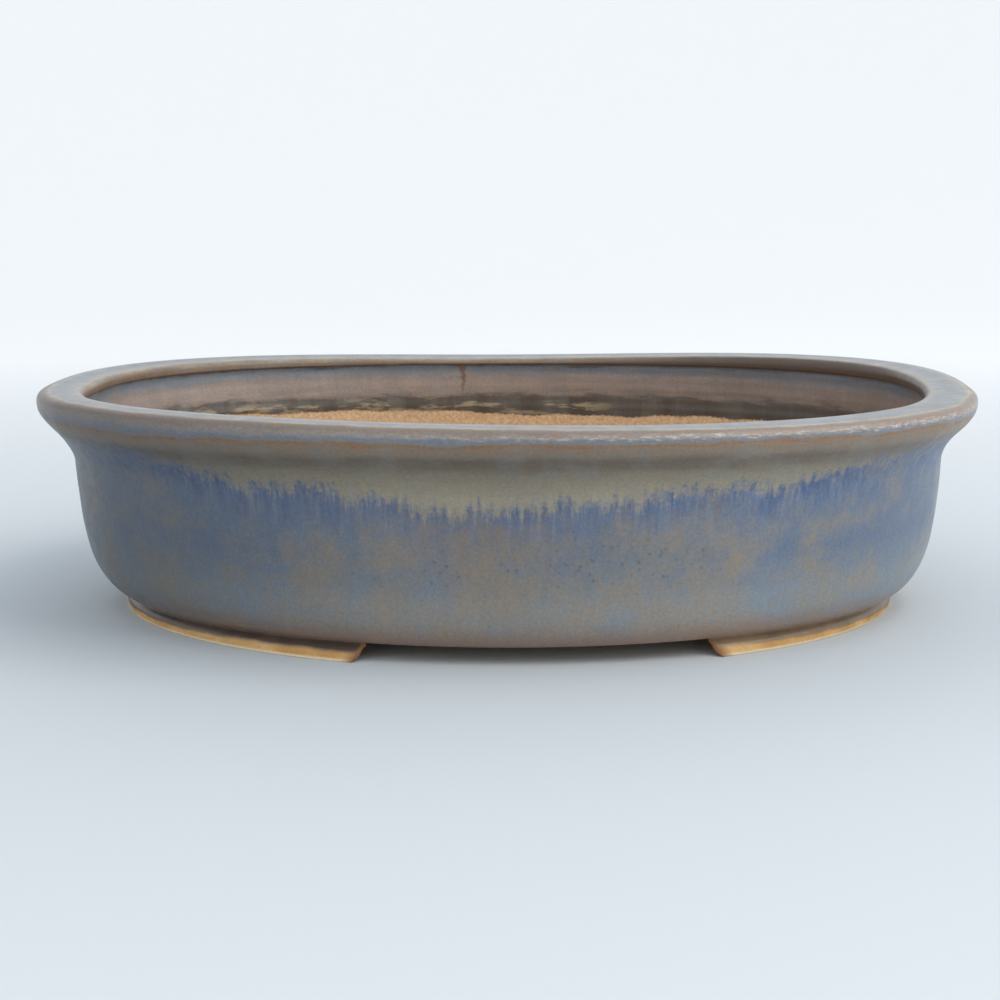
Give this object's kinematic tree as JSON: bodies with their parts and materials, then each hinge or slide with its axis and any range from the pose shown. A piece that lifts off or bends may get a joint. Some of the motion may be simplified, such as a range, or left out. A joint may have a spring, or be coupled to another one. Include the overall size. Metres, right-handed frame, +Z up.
{
  "type": "bonsai pot",
  "caption": "Shallow oval bowl with a rolled rim, a floor with drain and wiring holes, and two curved feet.",
  "frame": {"origin": "on the ground, under the middle of the rim", "axes": "+X along the pot's long side, -Y towards the front, +Z up"},
  "size_m": [0.37, 0.26, 0.089],
  "materials": {
    "rim_glaze": "glossy brown and blue-grey glaze on stoneware",
    "wall_glaze": "satin blue, olive and grey running glaze on stoneware",
    "floor_clay": "unglazed rough orange-tan stoneware",
    "foot_clay": "bare tan stoneware below a brown glaze edge"
  },
  "bodies": {
    "root": {"rim": "rim_glaze", "wall": "wall_glaze", "floor": "floor_clay", "foot_left": "foot_clay", "foot_right": "foot_clay"}
  },
  "joints": []
}
